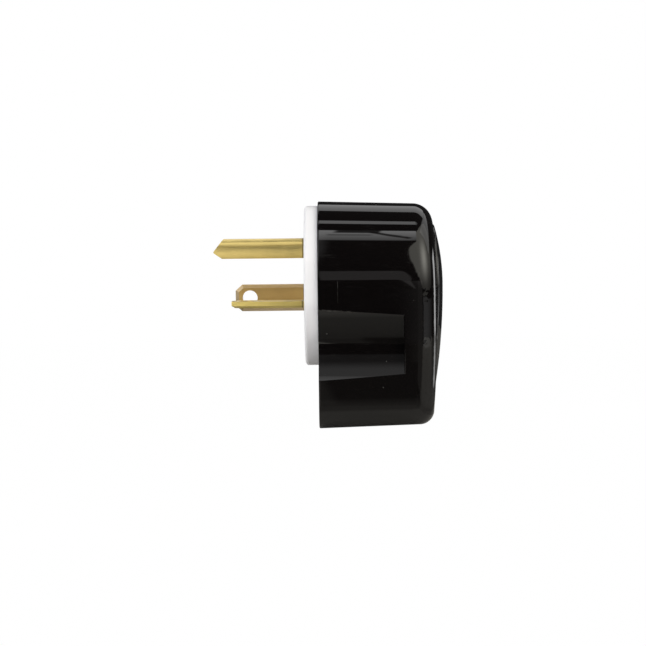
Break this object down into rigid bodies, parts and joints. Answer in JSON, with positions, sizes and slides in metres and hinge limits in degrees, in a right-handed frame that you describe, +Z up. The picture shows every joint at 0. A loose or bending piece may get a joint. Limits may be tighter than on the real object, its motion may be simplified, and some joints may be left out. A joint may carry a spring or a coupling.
{
  "type": "straight blade plug",
  "caption": "Black moulded angle plug with a round white face, flat line blades set at right angles, a longer U-section ground blade and a clamped cord entry at the bottom.",
  "frame": {"origin": "centre of the round mating face", "axes": "-X is the way the blades point, out of the mating face; +Z is up, with the ground blade on top and the cord entry at the bottom; +Y runs across, from the flat line blade to the upright one"},
  "size_m": [0.0537, 0.0394, 0.0517],
  "materials": {
    "housing_black": "glossy moulded black",
    "face_white": "satin moulded white",
    "blade_brass": "stamped and coined brass",
    "insulator": "matt moulded",
    "terminal_screw": "turned brass",
    "ground_green": "green plated",
    "wire_plate": "zinc plated, stamped",
    "plated_screw": "nickel plated",
    "insert_brass": "turned brass"
  },
  "bodies": {
    "root": {"housing": "housing_black", "face": "face_white", "line_blade_x": "blade_brass", "line_blade_y": "blade_brass", "ground_blade": "blade_brass", "blade_retainer": "insulator", "line_x_screw": "terminal_screw", "line_y_screw": "terminal_screw", "ground_screw": "ground_green", "line_x_wire_plate": "wire_plate", "line_y_wire_plate": "wire_plate", "ground_wire_plate": "wire_plate", "assembly_screws": "plated_screw", "assembly_inserts": "insert_brass", "cord_clamp": "housing_black", "cord_clamp_screws": "plated_screw", "cord_clamp_inserts": "insert_brass"}
  },
  "joints": []
}
